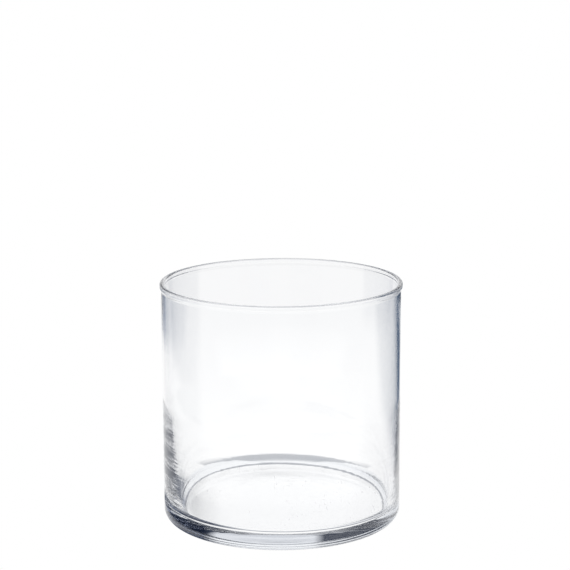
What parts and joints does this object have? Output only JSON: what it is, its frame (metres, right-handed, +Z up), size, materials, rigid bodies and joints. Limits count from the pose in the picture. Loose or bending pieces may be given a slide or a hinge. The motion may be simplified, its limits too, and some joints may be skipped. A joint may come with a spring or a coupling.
{
  "type": "glass cylinder vase",
  "caption": "Clear glass cylinder vase with a rounded rim, straight wall and heavy base, open at the top to hold water, stems, floating flowers or a candle.",
  "frame": {"origin": "where the vase's axis meets the table, at the height of the bearing ring", "axes": "+Z up along the vase's axis, from the foot to the mouth; X and Y are free, because the vase is round"},
  "size_m": [0.1994, 0.1994, 0.2],
  "materials": {
    "clear_glass": "clear fire-polished soda-lime glass, gloss"
  },
  "bodies": {
    "root": {"glass_vase": "clear_glass"}
  },
  "joints": []
}
